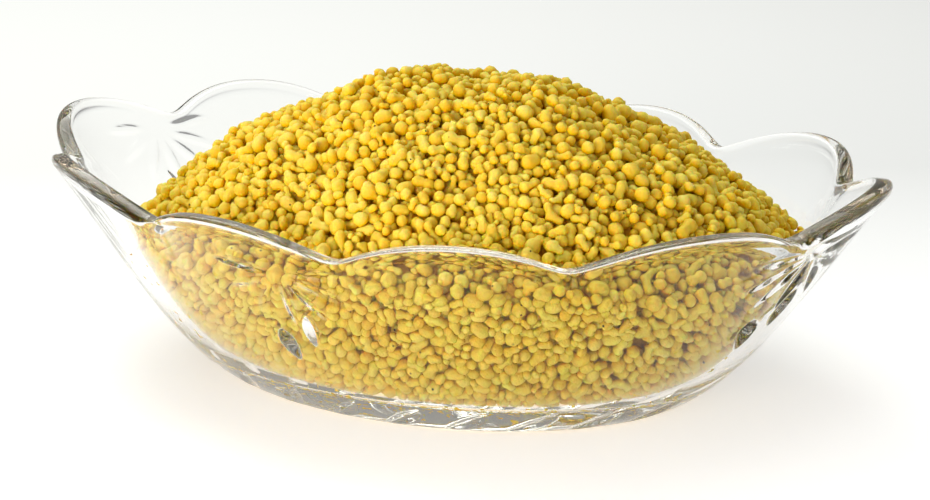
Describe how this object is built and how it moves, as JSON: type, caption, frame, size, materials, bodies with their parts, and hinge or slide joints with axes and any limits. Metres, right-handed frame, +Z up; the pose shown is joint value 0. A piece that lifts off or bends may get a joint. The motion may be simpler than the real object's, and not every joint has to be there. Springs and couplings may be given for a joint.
{
  "type": "glass bowl of boondi",
  "caption": "Clear pressed-glass oval bowl with a scalloped rim, heaped with loose yellow boondi, small fried gram-flour pearls, for serving at table.",
  "frame": {"origin": "centre of the bowl's flat base", "axes": "+X along the bowl's long axis, +Y along its short axis, +Z up"},
  "size_m": [0.2856, 0.1894, 0.1002],
  "materials": {
    "clear_glass": "fire-polished clear pressed glass",
    "boondi": "matte fried batter, slightly rough, with fine dark specks"
  },
  "bodies": {
    "root": {"glass_bowl": "clear_glass", "boondi_heap": "boondi"}
  },
  "joints": []
}
